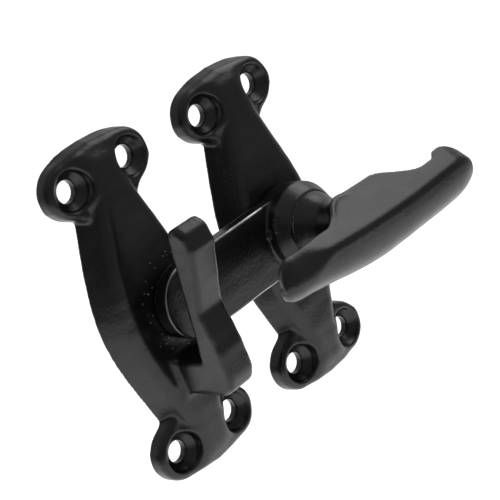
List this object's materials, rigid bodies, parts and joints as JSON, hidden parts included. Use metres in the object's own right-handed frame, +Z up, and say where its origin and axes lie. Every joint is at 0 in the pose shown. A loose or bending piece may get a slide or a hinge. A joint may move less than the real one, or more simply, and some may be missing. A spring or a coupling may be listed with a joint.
{
  "type": "gate latch",
  "caption": "Cast gate latch: a plate with a pivoting flat bar and ridged lever beside a keep plate whose hook catches the bar; both plates screw on through end lugs.",
  "frame": {"origin": "middle of the latch plate's four screw holes, on the back plane that lies against the gate; the pivot axis passes through it", "axes": "+X to the right along the bar away from the keep, -Y out to the front, +Z up with the latch as installed"},
  "size_m": [0.1124, 0.0405, 0.0948],
  "materials": {
    "black_casting": "satin black coating on a cast surface",
    "black_casting_moving": "satin black coating, rough where bar and hub meet",
    "black_casting_lever": "satin black coating, smooth on the lever"
  },
  "bodies": {
    "plates": {"keep_plate": "black_casting", "latch_plate": "black_casting"},
    "latch": {"latch_bar": "black_casting_moving", "lever_handle": "black_casting_lever"}
  },
  "joints": [
    {"name": "latch_pivot", "type": "hinge", "parent": "plates", "child": "latch", "pos_m": [0, -0.012, 0], "axis": [0, 1, 0], "range_deg": [-2.7, 120]}
  ]
}
